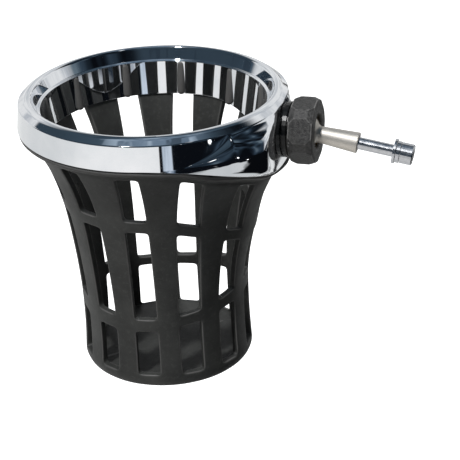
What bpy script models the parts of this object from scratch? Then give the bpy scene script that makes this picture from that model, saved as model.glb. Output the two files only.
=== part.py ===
"""Handlebar drink holder: a chrome ring with a slotted rubber basket, carried on a clamped ball joint.

Units are metres, +Z is up. The origin is the centre of the basket's inside floor, the ring's axis is
the Z axis, and +X points from the ring's axis through the boss to the ball joint and its stem.
"""

import math

import bmesh
import bpy
from mathutils import Matrix, Vector

MM = 0.001
GAP = 0.3 * MM

# Ring: a hollow casting with an outer band, a rounded top and an inner sleeve.
RING_COLUMNS = 72
BAND_RADIUS_LOW = 56.1 * MM
BAND_RADIUS_HIGH = 55.0 * MM
BAND_WALL = 2.7 * MM
BAND_TOP = 114.1 * MM
RING_TOP = 116.6 * MM
INNER_EDGE_RADIUS = 47.8 * MM
INNER_EDGE_HEIGHT = 111.3 * MM
SLEEVE_FOOT_RADIUS = 45.0 * MM
SLEEVE_WALL = 1.2 * MM
SLEEVE_DROP = 7.7 * MM
CHANNEL_ROOF = 110.0 * MM
SLEEVE_LEAN = 2.4 * MM
RING_LOW_EDGE = 104.0 * MM

# The ring's rounded top, as (distance in from the band, distance below the top) in mm.
RIM_PROFILE = ((2.9, 0.5), (4.2, 0), (5.6, 0.2), (6.5, 1.2))
INNER_EDGE_BEVEL = (0.6, 0.7)

# Boss: where the band grows deeper and swells outwards, up to a flat face on +X.
BOSS_DROP = 14.5 * MM
BOSS_SPREAD = math.radians(80)
BULGE = 5.2 * MM
BULGE_START = math.radians(62)
BULGE_FULL = math.radians(26)
FAR_BULGE_START = math.radians(30)
FAR_BULGE_FULL = math.radians(12)
CREST_SPREAD = math.radians(21)
BOSS_FACE_X = 55.5 * MM
BOSS_SOLID = math.radians(18)
BOSS_FLOOR = 0.9 * MM
CREST_MARGIN = (2.0 * MM, 1.0 * MM)

# The swelling's section: (share of its height, share of how far it stands out).
BULGE_PROFILE = ((0, 0.5), (0.12, 0.8), (0.35, 1), (0.6, 1), (0.85, 0.75), (1, 0.1))

# Basket: a flared cup with three rows of slots and one rib above each slot. The outline is
# (height, outer radius) in mm. Each wave is a slot edge's mean height in mm, then the size in mm and
# the direction in degrees of its swing once and twice round the basket.
SLOTS = 12
WALL_RADIUS = 42.0 * MM
SLOT_WIDTH = 9.5 * MM
SLOT_OFFSET = math.radians(4)
BACK_TURN_TOP = math.radians(0.9)
BACK_TURN_FOOT = math.radians(2.8)
BACK_TURN_HEIGHT = 50.0 * MM
BASKET_WALL = 3.0 * MM
BASKET_OUTLINE = (
    (0, 36.4),
    (12, 35.7),
    (28, 35.8),
    (42, 36.7),
    (56, 38.2),
    (70, 40.3),
    (86, 44.6),
    (99, 50.6),
)
FLOOR_CORNER = ((32.4, 0.15), (31.3, 0))
UNDERSIDE_CORNER = ((36.1, -2.0), (35.4, -3.3), (33.8, -4.0))
FLOOR_THICKNESS = 4.0 * MM
LOW_ROW_FLOOR = 2.2 * MM
LOW_ROW_TOP = 22.9 * MM
MIDDLE_ROW_FLOOR = 29.2 * MM
MIDDLE_ROW_TOP = 70.2 * MM
UPPER_ROW_FLOOR = 75.5 * MM
LEDGE = 96.0 * MM
UPPER_ROW_TOP = 97.5 * MM
OUTER_SILL_WAVE = (0.35, 1.85, -71, 0, 0)
INNER_SILL_WAVE = (1.25, 0.95, -71, 0, 0)
LOW_TOP_WAVE = (23.2, 2.9, -31, 2.37, 2.7)
MIDDLE_FLOOR_WAVE = (28.7, 3.38, -38, 2.92, 21.4)
RIB_WIDTH = 3.0 * MM
RIB_INNER_RADIUS = 43.3 * MM
RIB_OUTER_RADIUS = 49.6 * MM
RIB_TOP = 109.6 * MM
RIB_HANG = 7.9 * MM
RIB_FOOT = 0.2 * MM
RIB_SINK = 0.2 * MM
RIB_HANG_TOP = 104.0 * MM
NOTCH_OUTER_RADIUS = 48.9 * MM
NOTCH_INNER_RADIUS = 42.0 * MM
NOTCH_REACH = 15.0 * MM

# Collar: the basket's flange under the ring's edge, and the wall that stands up inside the ring.
FLANGE_ROOT = (1.3 * MM, 4.9 * MM)
FLANGE_EDGE = (1.8 * MM, 1.1 * MM)
FLANGE_BEVEL = 0.2 * MM
COLLAR_GAP = 0.75 * MM
COLLAR_GAP_IN_BOSS = 0.35 * MM
COLLAR_TOP = 109.5 * MM
COLLAR_TOP_IN_BOSS = 0.4 * MM
BOSS_MARGIN = math.radians(5)

# Ball joint: everything is turned round an axis along +X at this height.
JOINT_HEIGHT = 102.2 * MM
BALL_X = 61.0 * MM
BALL_RADIUS = 8.0 * MM
SOCKET_OUTER = 10.3 * MM
SOCKET_BORE = 9.25 * MM
SOCKET_BACK_X = 50.5 * MM
SOCKET_FRONT_X = 65.4 * MM
SOCKET_BASE = 1.0 * MM
POCKET_BACK_X = 50.2 * MM
SEAT_FRONT_X = 58.0 * MM
PRESS_RING_BACK_X = 63.3 * MM
FLANGE_RADIUS = 11.3 * MM
FLANGE_FRONT_X = 57.4 * MM
KNOB_BACK_X = 58.2 * MM
KNOB_FRONT_X = 68.6 * MM
KNOB_HOLE = 7.1 * MM
KNOB_HOLE_CHAMFER = 0.8 * MM
KNOB_LIP = 1.6 * MM
KNOB_PADS = 6
KNOB_TURN = math.radians(9.5)
PAD_RADIUS = 12.75 * MM
PAD_HALF_WIDTH = 4.95 * MM
PAD_CORNER_SIDE = 2.3 * MM
PAD_CORNER_END = 2.7 * MM
PAD_END = 0.45 * MM
VALLEY_RADIUS = 12.7 * MM
FACE_RADIUS = 11.4 * MM
FACE_HALF_WIDTH = 4.1 * MM

# Stem: it leans down from +X, and a bolt draws its end against a clamp's ear.
STEM_TILT = math.radians(9.5)
STEM_NECK = 3.4 * MM
STEM_END_RADIUS = 4.3 * MM
STEM_LENGTH = 24.0 * MM
CLAMP_GRIP = 14.0 * MM
STEM_FILLET = 1.9 * MM
STEM_HOLE_DEPTH = 10.0 * MM
STEM_DRILL_TIP = 1.5 * MM
BOLT_RADIUS = 2.5 * MM
BOLT_TIP = 9.0 * MM
BOLT_HEAD_RADIUS = 4.25 * MM
BOLT_HEAD_HEIGHT = 5.0 * MM
HEX_KEY_RADIUS = 2.3 * MM
FLAT_WASHER = (1.0 * MM, 5.0 * MM)
LOCK_WASHER = (1.4 * MM, 4.4 * MM)
LOCK_WASHER_SLIT = 0.9 * MM

BALL_CENTRE = Vector((BALL_X, 0, JOINT_HEIGHT))
ALONG_X = Matrix.Rotation(math.pi / 2, 4, "Y")
ALONG_STEM = Matrix.Rotation(math.pi / 2 + STEM_TILT, 4, "Y")


def clear_scene():
    for obj in list(bpy.data.objects):
        bpy.data.objects.remove(obj, do_unlink=True)


def material(name, colour, roughness, metallic):
    made = bpy.data.materials.new(name)
    made.use_nodes = True
    shader = made.node_tree.nodes["Principled BSDF"]
    shader.inputs["Base Color"].default_value = (*colour, 1)
    shader.inputs["Roughness"].default_value = roughness
    shader.inputs["Metallic"].default_value = metallic
    return made


def smooth_step(value):
    value = min(max(value, 0), 1)
    return value * value * (3 - 2 * value)


def finish(name, shape, look, matrix=None, sharp=35):
    """Makes an object of the bmesh, shaded smooth except at its sharp edges."""
    bmesh.ops.remove_doubles(shape, verts=shape.verts, dist=1e-6)
    bmesh.ops.recalc_face_normals(shape, faces=shape.faces)
    mesh = bpy.data.meshes.new(name)
    shape.to_mesh(mesh)
    shape.free()
    mesh.shade_smooth()
    mesh.set_sharp_from_angle(angle=math.radians(sharp))
    if look:
        mesh.materials.append(look)
    obj = bpy.data.objects.new(name, mesh)
    bpy.context.collection.objects.link(obj)
    if matrix:
        obj.matrix_world = matrix
    return obj


def cutter(name, shape, matrix=None):
    obj = finish(name, shape, None, matrix)
    obj.hide_render = True
    obj.display_type = "WIRE"
    return obj


def boolean(obj, other, operation="DIFFERENCE"):
    modifier = obj.modifiers.new(other.name, "BOOLEAN")
    modifier.operation = operation
    modifier.solver = "EXACT"
    modifier.object = other
    return modifier


def turned_shape(profile, steps):
    """A closed outline of (radius, height) points, turned round the local Z axis."""
    shape = bmesh.new()
    points = [shape.verts.new((radius, 0, height)) for radius, height in profile]
    edges = [shape.edges.new(pair) for pair in zip(points, points[1:] + points[:1])]
    bmesh.ops.spin(
        shape, geom=points + edges, axis=(0, 0, 1), cent=(0, 0, 0), steps=steps, angle=2 * math.pi
    )
    bmesh.ops.remove_doubles(shape, verts=shape.verts, dist=1e-6)
    on_axis = [edge for edge in shape.edges if all(math.hypot(*v.co[:2]) < 1e-7 for v in edge.verts)]
    bmesh.ops.delete(shape, geom=on_axis, context="EDGES")
    return shape


def block(size, centre=(0, 0, 0)):
    shape = bmesh.new()
    bmesh.ops.create_cube(shape, size=1, matrix=Matrix.Translation(centre) @ Matrix.Diagonal((*size, 1)))
    return shape


def arc(centre, radius, start, end, steps):
    """Points on an arc, as (radius from the axis, height), with angles in degrees from outwards."""
    angles = [math.radians(start + (end - start) * i / steps) for i in range(steps + 1)]
    return [(centre[0] + radius * math.cos(a), centre[1] + radius * math.sin(a)) for a in angles]


def low_edge(angle):
    """Height of the ring's lower edge, which sinks towards the boss."""
    nearness = max(0, 1 - abs(angle) / BOSS_SPREAD)
    return RING_LOW_EDGE - BOSS_DROP * 0.5 * (1 - math.cos(math.pi * nearness))


def wave(row, angle):
    """Height of a slot edge in the lower part, which rises and falls round the basket."""
    mean, first, first_phase, second, second_phase = row
    height = mean + first * math.cos(angle - math.radians(first_phase))
    return MM * (height + second * math.cos(2 * angle - math.radians(second_phase)))


def wrapped(angle):
    return (angle + math.pi) % (2 * math.pi) - math.pi


# ---------------------------------------------------------------- ring


def sleeve_outer(angle, height):
    """Outer radius of the sleeve, which leans outwards as it rises."""
    foot = low_edge(angle) - SLEEVE_DROP
    share = (height - foot) / (CHANNEL_ROOF - foot)
    return SLEEVE_FOOT_RADIUS + SLEEVE_WALL + share * SLEEVE_LEAN


def band_radius(height):
    """The band leans in a little from its lower edge to its top."""
    share = min(max((height - RING_LOW_EDGE) / (BAND_TOP - RING_LOW_EDGE), 0), 1)
    return BAND_RADIUS_LOW + (BAND_RADIUS_HIGH - BAND_RADIUS_LOW) * share


def ring_stations(angle):
    """The ring's section at one angle, as a closed loop of (radius, height)."""
    low = low_edge(angle)
    near = abs(angle)
    start, full = (BULGE_START, BULGE_FULL) if angle < 0 else (FAR_BULGE_START, FAR_BULGE_FULL)
    bulge = BULGE * smooth_step((start - near) / (start - full))
    rise = min(max((start - near) / CREST_SPREAD, 0), 1)
    crest_low, crest_high = low + CREST_MARGIN[0], BAND_TOP - CREST_MARGIN[1]
    crest = crest_low + (crest_high - crest_low) * rise
    roof = low + BOSS_FLOOR if near < BOSS_SOLID else CHANNEL_ROOF
    section = [(BAND_RADIUS_LOW - BAND_WALL, low)]
    for up, out in BULGE_PROFILE:
        height = low + (crest - low) * up
        section.append((band_radius(height) + bulge * out, height))
    section.append((BAND_RADIUS_HIGH, BAND_TOP))
    section += [(BAND_RADIUS_HIGH - inwards * MM, RING_TOP - down * MM) for inwards, down in RIM_PROFILE]
    bevel_in, bevel_down = INNER_EDGE_BEVEL
    section += [
        (INNER_EDGE_RADIUS, INNER_EDGE_HEIGHT),
        (INNER_EDGE_RADIUS - bevel_in * MM, INNER_EDGE_HEIGHT - bevel_down * MM),
        (SLEEVE_FOOT_RADIUS, low - SLEEVE_DROP),
        (SLEEVE_FOOT_RADIUS + SLEEVE_WALL, low - SLEEVE_DROP),
        (sleeve_outer(angle, roof), roof),
        (BAND_RADIUS_LOW - BAND_WALL - 0.4 * MM, roof),
    ]
    return section


def lofted(sections):
    """Joins the closed loops, one for each angle round the axis, into one closed surface."""
    shape = bmesh.new()
    loops = []
    for angle, section in sections:
        direction = Vector((math.cos(angle), math.sin(angle), 0))
        loops.append([shape.verts.new(direction * r + Vector((0, 0, z))) for r, z in section])
    for first, second in zip(loops, loops[1:] + loops[:1]):
        for i in range(len(first)):
            j = (i + 1) % len(first)
            shape.faces.new((first[i], first[j], second[j], second[i]))
    return shape


def slot_angle(slot, height):
    """Angle of a slot's middle. The slots at the back stand a little round from an even spacing."""
    even = SLOT_OFFSET + 2 * math.pi * slot / SLOTS
    share = (height - BACK_TURN_HEIGHT) / (RING_LOW_EDGE - BACK_TURN_HEIGHT)
    most = BACK_TURN_FOOT + (BACK_TURN_TOP - BACK_TURN_FOOT) * min(max(share, 0), 1)
    return even - most * smooth_step((math.sin(even) + 0.2) / 1.2)


def rib_blocks(inner, outer, width, low, high):
    """One upright block at each slot's angle, as one bmesh. outer and low are functions of the angle."""
    shape = bmesh.new()
    for slot in range(SLOTS):
        angle = slot_angle(slot, RING_LOW_EDGE)
        foot = low(wrapped(angle))
        reach = outer(wrapped(angle))
        size = (reach - inner, width, high - foot, 1)
        middle = ((inner + reach) / 2, 0, (high + foot) / 2)
        place = Matrix.Rotation(angle, 4, "Z") @ Matrix.Translation(middle)
        bmesh.ops.create_cube(shape, size=1, matrix=place @ Matrix.Diagonal(size))
    return shape


def make_ring(look):
    angles = [2 * math.pi * i / RING_COLUMNS for i in range(RING_COLUMNS)]
    ring = finish("holder_ring", lofted([(a, ring_stations(wrapped(a))) for a in angles]), look)
    depth, across = 20 * MM, 80 * MM
    face = block((depth, across, across), (BOSS_FACE_X + depth / 2, 0, JOINT_HEIGHT))
    boolean(ring, cutter("boss_face_cutter", face))
    bore = SOCKET_OUTER + GAP
    beyond = BOSS_FACE_X + depth
    pocket = turned_shape([(0, POCKET_BACK_X), (bore, POCKET_BACK_X), (bore, beyond), (0, beyond)], 36)
    axis = Matrix.Translation((0, 0, JOINT_HEIGHT)) @ ALONG_X
    boolean(ring, cutter("pocket_cutter", pocket, axis))
    notches = rib_blocks(
        NOTCH_INNER_RADIUS,
        lambda angle: NOTCH_OUTER_RADIUS,
        RIB_WIDTH + 2 * GAP,
        lambda angle: low_edge(angle) - NOTCH_REACH,
        RIB_TOP + GAP,
    )
    boolean(ring, cutter("rib_notch_cutter", notches))
    return ring


# ---------------------------------------------------------------- basket


def outline_radius(height):
    """Outer radius of the basket at a height, by a smooth curve through its outline."""
    points = [(z * MM, r * MM) for z, r in BASKET_OUTLINE]
    i = max(0, min(len(points) - 2, sum(height >= z for z, _ in points) - 1))
    (z0, r0), (z1, r1) = points[i], points[i + 1]
    before = points[max(i - 1, 0)]
    after = points[min(i + 2, len(points) - 1)]
    slope0 = (r1 - before[1]) / (z1 - before[0])
    slope1 = (after[1] - r0) / (after[0] - z0)
    t = (height - z0) / (z1 - z0)
    span = z1 - z0
    start = r0 * (1 + 2 * t) * (1 - t) ** 2 + slope0 * span * t * (1 - t) ** 2
    return start + r1 * t * t * (3 - 2 * t) + slope1 * span * t * t * (t - 1)


def wall_levels(angle, sill_wave):
    """The wall's heights at one angle, as (height before the slots are bent, real height)."""
    drop = RING_LOW_EDGE - low_edge(angle)
    anchors = [
        (LOW_ROW_FLOOR, wave(sill_wave, angle)),
        (LOW_ROW_TOP, wave(LOW_TOP_WAVE, angle)),
        (MIDDLE_ROW_FLOOR, wave(MIDDLE_FLOOR_WAVE, angle)),
        (MIDDLE_ROW_TOP, MIDDLE_ROW_TOP - drop),
        (UPPER_ROW_FLOOR, UPPER_ROW_FLOOR - drop),
        (LEDGE, LEDGE - drop),
        (UPPER_ROW_TOP, UPPER_ROW_TOP - drop),
    ]
    levels = []
    for (z0, real0), (z1, real1), cuts in zip(anchors, anchors[1:], (2, 1, 4, 1, 3, 1)):
        levels += [(z0 + (z1 - z0) * i / cuts, real0 + (real1 - real0) * i / cuts) for i in range(cuts)]
    return levels + [anchors[-1]]


def level_at(height):
    """Which of the wall's levels is the one at this height."""
    heights = [z for z, _ in wall_levels(0, OUTER_SILL_WAVE)]
    return min(range(len(heights)), key=lambda i: abs(heights[i] - height))


def line_angle(line, radius, height):
    """Angle of an upright line: three lines to a slot, whose sides stay parallel, and two to a pillar."""
    slot, part = line
    half = math.asin(SLOT_WIDTH / 2 / max(radius, 20 * MM))
    middle = slot_angle(slot, height)
    if part < 3:
        return middle + (part - 1) * half
    pitch = slot_angle(slot + 1, height) - middle
    return middle + half + (pitch - 2 * half) * (part - 2) / 3


def on_line(shape, line, points):
    """One vertex on the line for each (radius, height)."""
    made = []
    for radius, height in points:
        angle = line_angle(line, radius, height)
        made.append(shape.verts.new((radius * math.cos(angle), radius * math.sin(angle), height)))
    return made


def inner_points(angle):
    """The wall's inner surface. Above the ledge it follows the ring's sleeve."""
    points = []
    for z, real in wall_levels(angle, INNER_SILL_WAVE):
        if z > LEDGE + 1e-6:
            points.append((sleeve_outer(angle, real) + GAP, real))
        else:
            points.append((min(outline_radius(z) - BASKET_WALL, SLEEVE_FOOT_RADIUS + 0.4 * MM), real))
    return points


def collar_points(angle):
    """From the wall's top outwards under the ring's edge, up into the ring and back down its sleeve."""
    low = low_edge(angle)
    in_boss = abs(angle) < BOSS_SOLID + BOSS_MARGIN
    top = low + COLLAR_TOP_IN_BOSS if in_boss else COLLAR_TOP
    band_inside = BAND_RADIUS_LOW - BAND_WALL
    under_edge = low - 2 * GAP
    root_out, root_down = FLANGE_ROOT
    edge_in, edge_down = FLANGE_EDGE
    return [
        (outline_radius(UPPER_ROW_TOP) + root_out, low - root_down),
        (BAND_RADIUS_LOW - edge_in, low - edge_down),
        (BAND_RADIUS_LOW - edge_in - FLANGE_BEVEL, under_edge),
        (band_inside - 2 * GAP, under_edge),
        (band_inside - (COLLAR_GAP_IN_BOSS if in_boss else COLLAR_GAP), top),
        (sleeve_outer(angle, top) + GAP, top),
    ]


def basket_ribs():
    """A rib at each slot: a deep block in the collar, and a thin one that hangs inside the sleeve."""
    deep = rib_blocks(
        RIB_INNER_RADIUS,
        lambda angle: NOTCH_OUTER_RADIUS - GAP if abs(angle) < BOSS_SOLID else RIB_OUTER_RADIUS,
        RIB_WIDTH,
        lambda angle: low_edge(angle) - RING_LOW_EDGE + UPPER_ROW_TOP + RIB_FOOT,
        RIB_TOP,
    )
    hanging = rib_blocks(
        RIB_INNER_RADIUS,
        lambda angle: SLEEVE_FOOT_RADIUS + SLEEVE_WALL - RIB_SINK,
        RIB_WIDTH,
        lambda angle: low_edge(angle) - RIB_HANG,
        RIB_HANG_TOP,
    )
    return deep, hanging


def make_basket(look):
    """Upright lines of vertices round the axis, joined by faces except across the slots."""
    shape = bmesh.new()
    lines = [(slot, part) for slot in range(SLOTS) for part in range(5)]
    outer, inner, collar, floor, under = [], [], [], [], []
    for line in lines:
        angle = wrapped(line_angle(line, WALL_RADIUS, RING_LOW_EDGE))
        outer_wall = [(outline_radius(z), real) for z, real in wall_levels(angle, OUTER_SILL_WAVE)]
        outer.append(on_line(shape, line, outer_wall))
        inner.append(on_line(shape, line, inner_points(angle)))
        ledge_height = low_edge(angle) - RING_LOW_EDGE + LEDGE
        step = (sleeve_outer(angle, ledge_height) + GAP, ledge_height)
        collar.append(on_line(shape, line, collar_points(angle)) + [inner[-1][-1]])
        collar[-1] += on_line(shape, line, [step])
        floor.append(on_line(shape, line, [(r * MM, z * MM) for r, z in FLOOR_CORNER]))
        under.append(on_line(shape, line, [(r * MM, z * MM) for r, z in UNDERSIDE_CORNER]))
    rows = slot_rows()
    ledge = level_at(LEDGE)
    centre_top = shape.verts.new((0, 0, 0))
    centre_low = shape.verts.new((0, 0, -FLOOR_THICKNESS))
    for n, (_, part) in enumerate(lines):
        m = (n + 1) % len(lines)
        in_slot = part < 2
        for i in range(len(outer[n]) - 1):
            if in_slot and any(low <= i < high for low, high in rows):
                continue
            bridge(shape, outer[n][i : i + 2], outer[m][i : i + 2])
            if i < ledge:
                bridge(shape, inner[m][i : i + 2], inner[n][i : i + 2])
        over_n = [outer[n][-1]] + collar[n]
        over_m = [outer[m][-1]] + collar[m]
        if in_slot:
            bridge(shape, over_n[:-1], over_m[:-1])
        else:
            bridge(shape, over_n + [inner[n][ledge]], over_m + [inner[m][ledge]])
        bridge(shape, [inner[m][0]] + floor[m], [inner[n][0]] + floor[n])
        bridge(shape, [outer[m][0]] + under[m], [outer[n][0]] + under[n])
        shape.faces.new((floor[n][-1], floor[m][-1], centre_top))
        shape.faces.new((under[m][-1], under[n][-1], centre_low))
        for low, high in rows:
            if in_slot:
                bridge(shape, [inner[n][low], outer[n][low]], [inner[m][low], outer[m][low]])
                bridge(shape, [outer[n][high], inner[n][high]], [outer[m][high], inner[m][high]])
            if part in (0, 2):
                close_side(shape, outer[n], inner[n], collar[n][-1], low, high, ledge)
    basket = finish("basket", shape, look)
    for name, blocks in zip(("rib_shapes", "hanging_rib_shapes"), basket_ribs()):
        boolean(basket, cutter(name, blocks), "UNION")
    return basket


def bridge(shape, first, second):
    """Quads between two lines of vertices."""
    for i in range(len(first) - 1):
        shape.faces.new((first[i], second[i], second[i + 1], first[i + 1]))


def close_side(shape, outer, inner, step, low, high, ledge):
    """A slot's side, where the wall steps back at the ledge."""
    for i in range(low, high):
        foot = inner[i]
        if i == ledge:
            foot = step
            shape.faces.new((outer[i], foot, inner[i]))
        shape.faces.new((outer[i], outer[i + 1], inner[i + 1], foot))


def slot_rows():
    """First and last level of each row of slots."""
    return [
        (level_at(LOW_ROW_FLOOR), level_at(LOW_ROW_TOP)),
        (level_at(MIDDLE_ROW_FLOOR), level_at(MIDDLE_ROW_TOP)),
        (level_at(UPPER_ROW_FLOOR), level_at(UPPER_ROW_TOP)),
    ]


# ---------------------------------------------------------------- ball joint


def in_knob_frame(x):
    return x - BALL_X


def make_socket(look, matrix):
    back = in_knob_frame(SOCKET_BACK_X)
    front = in_knob_frame(SOCKET_FRONT_X)
    edge = 0.5 * MM
    flange_back = in_knob_frame(BOSS_FACE_X) + GAP
    flange_front = in_knob_frame(FLANGE_FRONT_X)
    profile = [
        (0, back),
        (SOCKET_OUTER - edge, back),
        (SOCKET_OUTER, back + edge),
        (SOCKET_OUTER, flange_back),
        (FLANGE_RADIUS, flange_back),
        (FLANGE_RADIUS, flange_front),
        (SOCKET_OUTER, flange_front),
        (SOCKET_OUTER, front - edge),
        (SOCKET_OUTER - edge, front),
        (SOCKET_BORE, front),
        (SOCKET_BORE, back + SOCKET_BASE),
        (0, back + SOCKET_BASE),
    ]
    return finish("joint_socket", turned_shape(profile, 36), look, matrix)


def ball_cup_arc(first, last, steps):
    """Points on a sphere one gap outside the ball, as (radius, height along the axis)."""
    radius = BALL_RADIUS + GAP
    heights = [first + (last - first) * i / steps for i in range(steps + 1)]
    return [(math.sqrt(max(radius * radius - h * h, 0)), h) for h in heights]


def make_seat(look, matrix):
    back = in_knob_frame(SOCKET_BACK_X) + SOCKET_BASE + GAP
    front = in_knob_frame(SEAT_FRONT_X)
    outer = SOCKET_BORE - GAP
    radius = BALL_RADIUS + GAP
    rim = math.acos(front / radius)
    angles = [rim + (math.pi - rim) * i / 6 for i in range(6)]
    bowl = [(radius * math.sin(a), radius * math.cos(a)) for a in angles] + [(0, -radius)]
    profile = [(0, back), (outer, back), (outer, front)] + bowl
    return finish("ball_seat", turned_shape(profile, 36), look, matrix)


def make_compression_ring(look, matrix):
    low = in_knob_frame(PRESS_RING_BACK_X)
    high = in_knob_frame(KNOB_FRONT_X) - KNOB_LIP - GAP
    outer = SOCKET_BORE - GAP
    profile = [(outer, low), (outer, high)] + ball_cup_arc(high, low, 4)
    return finish("compression_ring", turned_shape(profile, 36), look, matrix)


def knob_body(half):
    """Octagonal pads joined by narrow facets, with bevelled ends: the hull of their corners."""
    shape = bmesh.new()
    for k in range(KNOB_PADS):
        turn = Matrix.Rotation(KNOB_TURN + 2 * math.pi * k / KNOB_PADS, 3, "Z")
        valley = turn @ Matrix.Rotation(math.pi / KNOB_PADS, 3, "Z")
        for end in (-1, 1):
            for across in (-1, 1):
                corners = (
                    (PAD_RADIUS, PAD_HALF_WIDTH - PAD_CORNER_SIDE, half - PAD_END),
                    (PAD_RADIUS, PAD_HALF_WIDTH, half - PAD_CORNER_END),
                    (FACE_RADIUS, FACE_HALF_WIDTH, half),
                )
                for out, side, along in corners:
                    shape.verts.new(turn @ Vector((out, across * side, end * along)))
            shape.verts.new(valley @ Vector((VALLEY_RADIUS, 0, end * (half - PAD_END))))
    bmesh.ops.convex_hull(shape, input=shape.verts)
    loose = [v for v in shape.verts if not v.link_faces]
    bmesh.ops.delete(shape, geom=loose, context="VERTS")
    bmesh.ops.dissolve_limit(shape, angle_limit=math.radians(1), verts=shape.verts, edges=shape.edges)
    return shape


def make_knob(look, matrix):
    """A hand knob with flat pads, bored for the socket and open at its front."""
    back = in_knob_frame(KNOB_BACK_X)
    front = in_knob_frame(KNOB_FRONT_X)
    middle = Matrix.Translation((0, 0, (back + front) / 2))
    body = knob_body((front - back) / 2)
    bmesh.ops.transform(body, matrix=middle, verts=body.verts)
    knob = finish("knob", body, look, matrix, sharp=20)
    bore = SOCKET_OUTER + GAP
    wall = front - KNOB_LIP
    clear = 2 * MM
    mouth = KNOB_HOLE + KNOB_HOLE_CHAMFER
    hollow = turned_shape(
        [
            (0, back - clear),
            (bore, back - clear),
            (bore, wall),
            (KNOB_HOLE, wall),
            (KNOB_HOLE, front - 0.5 * MM),
            (mouth, front + 0.3 * MM),
            (mouth, front + clear),
            (0, front + clear),
        ],
        36,
    )
    boolean(knob, cutter("knob_bore_cutter", hollow, matrix))
    return knob


# ---------------------------------------------------------------- stem and bolt


def make_stem(look, matrix):
    """The ball and its stem in one piece, with a blind hole for the bolt in its far end."""
    reach = math.sqrt((BALL_RADIUS + STEM_FILLET) ** 2 - (STEM_NECK + STEM_FILLET) ** 2)
    touch = math.atan2(STEM_NECK + STEM_FILLET, reach)
    angles = [math.pi - (math.pi - touch) * i / 12 for i in range(13)]
    ball = [(0, -BALL_RADIUS)] + [(BALL_RADIUS * math.sin(a), BALL_RADIUS * math.cos(a)) for a in angles[1:]]
    turn_from = 270 - math.degrees(touch)
    neck = arc((STEM_NECK + STEM_FILLET, reach), STEM_FILLET, turn_from, 180, 3)[1:]
    hole = BOLT_RADIUS + GAP
    edge = 0.3 * MM
    end = [
        (STEM_END_RADIUS - 0.1 * MM, STEM_LENGTH - edge),
        (STEM_END_RADIUS - 0.1 * MM - edge, STEM_LENGTH),
        (hole, STEM_LENGTH),
        (hole, STEM_LENGTH - STEM_HOLE_DEPTH),
        (0, STEM_LENGTH - STEM_HOLE_DEPTH - STEM_DRILL_TIP),
    ]
    return finish("ball_stem", turned_shape(ball + neck + end, 32), look, matrix)


def washer_shape(low, size):
    """A washer that starts at this distance from the ball's centre. size is (thickness, outer radius)."""
    thick, outer = size
    hole = BOLT_RADIUS + GAP
    return turned_shape([(hole, low), (outer, low), (outer, low + thick), (hole, low + thick)], 32)


def make_washers(look, matrix, low):
    """A flat washer and, beyond it, one split at one place. It returns where the bolt's head starts."""
    finish("flat_washer", washer_shape(low, FLAT_WASHER), look, matrix)
    lock_low = low + FLAT_WASHER[0] + GAP
    washer = finish("lock_washer", washer_shape(lock_low, LOCK_WASHER), look, matrix)
    outer = LOCK_WASHER[1]
    slit = block((2 * outer, LOCK_WASHER_SLIT, 4 * LOCK_WASHER[0]), (outer, 0, lock_low))
    boolean(washer, cutter("lock_washer_slit", slit, matrix))
    return lock_low + LOCK_WASHER[0] + GAP


def make_bolt(look, matrix, head):
    """A socket-head cap screw whose head starts at this distance from the ball's centre."""
    tip = STEM_LENGTH - BOLT_TIP
    head_top = head + BOLT_HEAD_HEIGHT
    edge = 0.4 * MM
    profile = [
        (0, tip),
        (BOLT_RADIUS - edge, tip),
        (BOLT_RADIUS, tip + edge),
        (BOLT_RADIUS, head),
        (BOLT_HEAD_RADIUS, head),
        (BOLT_HEAD_RADIUS, head_top - edge),
        (BOLT_HEAD_RADIUS - edge, head_top),
        (0, head_top),
    ]
    bolt = finish("clamp_bolt", turned_shape(profile, 32), look, matrix)
    key = bmesh.new()
    bmesh.ops.create_cone(
        key,
        cap_ends=True,
        segments=6,
        radius1=HEX_KEY_RADIUS,
        radius2=HEX_KEY_RADIUS,
        depth=BOLT_HEAD_HEIGHT,
        matrix=Matrix.Translation((0, 0, head_top)),
    )
    boolean(bolt, cutter("hex_key_cutter", key, matrix))
    return bolt


def main():
    clear_scene()
    chrome = material("chrome", (0.80, 0.82, 0.85), 0.05, 1)
    rubber = material("rubber", (0.035, 0.035, 0.034), 0.55, 0)
    nylon = material("black_nylon", (0.05, 0.05, 0.05), 0.6, 0)
    aluminium = material("blasted_aluminium", (0.62, 0.60, 0.57), 0.38, 1)
    steel = material("zinc_steel", (0.55, 0.55, 0.56), 0.3, 1)
    black_steel = material("black_steel", (0.03, 0.03, 0.032), 0.45, 0)
    white = material("seat_plastic", (0.75, 0.73, 0.68), 0.5, 0)
    brass = material("brass", (0.72, 0.55, 0.28), 0.35, 1)

    joint = Matrix.Translation(BALL_CENTRE) @ ALONG_X
    stem = Matrix.Translation(BALL_CENTRE) @ ALONG_STEM

    make_ring(chrome)
    make_basket(rubber)
    make_socket(black_steel, joint)
    make_seat(white, joint)
    make_compression_ring(brass, joint)
    make_knob(nylon, joint)
    make_stem(aluminium, stem)
    head = make_washers(steel, stem, STEM_LENGTH + CLAMP_GRIP + GAP)
    make_bolt(steel, stem, head)


main()
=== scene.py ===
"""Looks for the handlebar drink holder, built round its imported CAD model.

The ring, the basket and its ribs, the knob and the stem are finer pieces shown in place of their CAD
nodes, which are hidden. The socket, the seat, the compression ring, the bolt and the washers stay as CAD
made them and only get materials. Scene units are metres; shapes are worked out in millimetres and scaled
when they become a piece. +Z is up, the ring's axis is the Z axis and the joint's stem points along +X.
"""

import math

import bmesh  # noqa: E402
import bpy  # noqa: E402
from mathutils import Matrix, Vector  # noqa: E402


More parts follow.
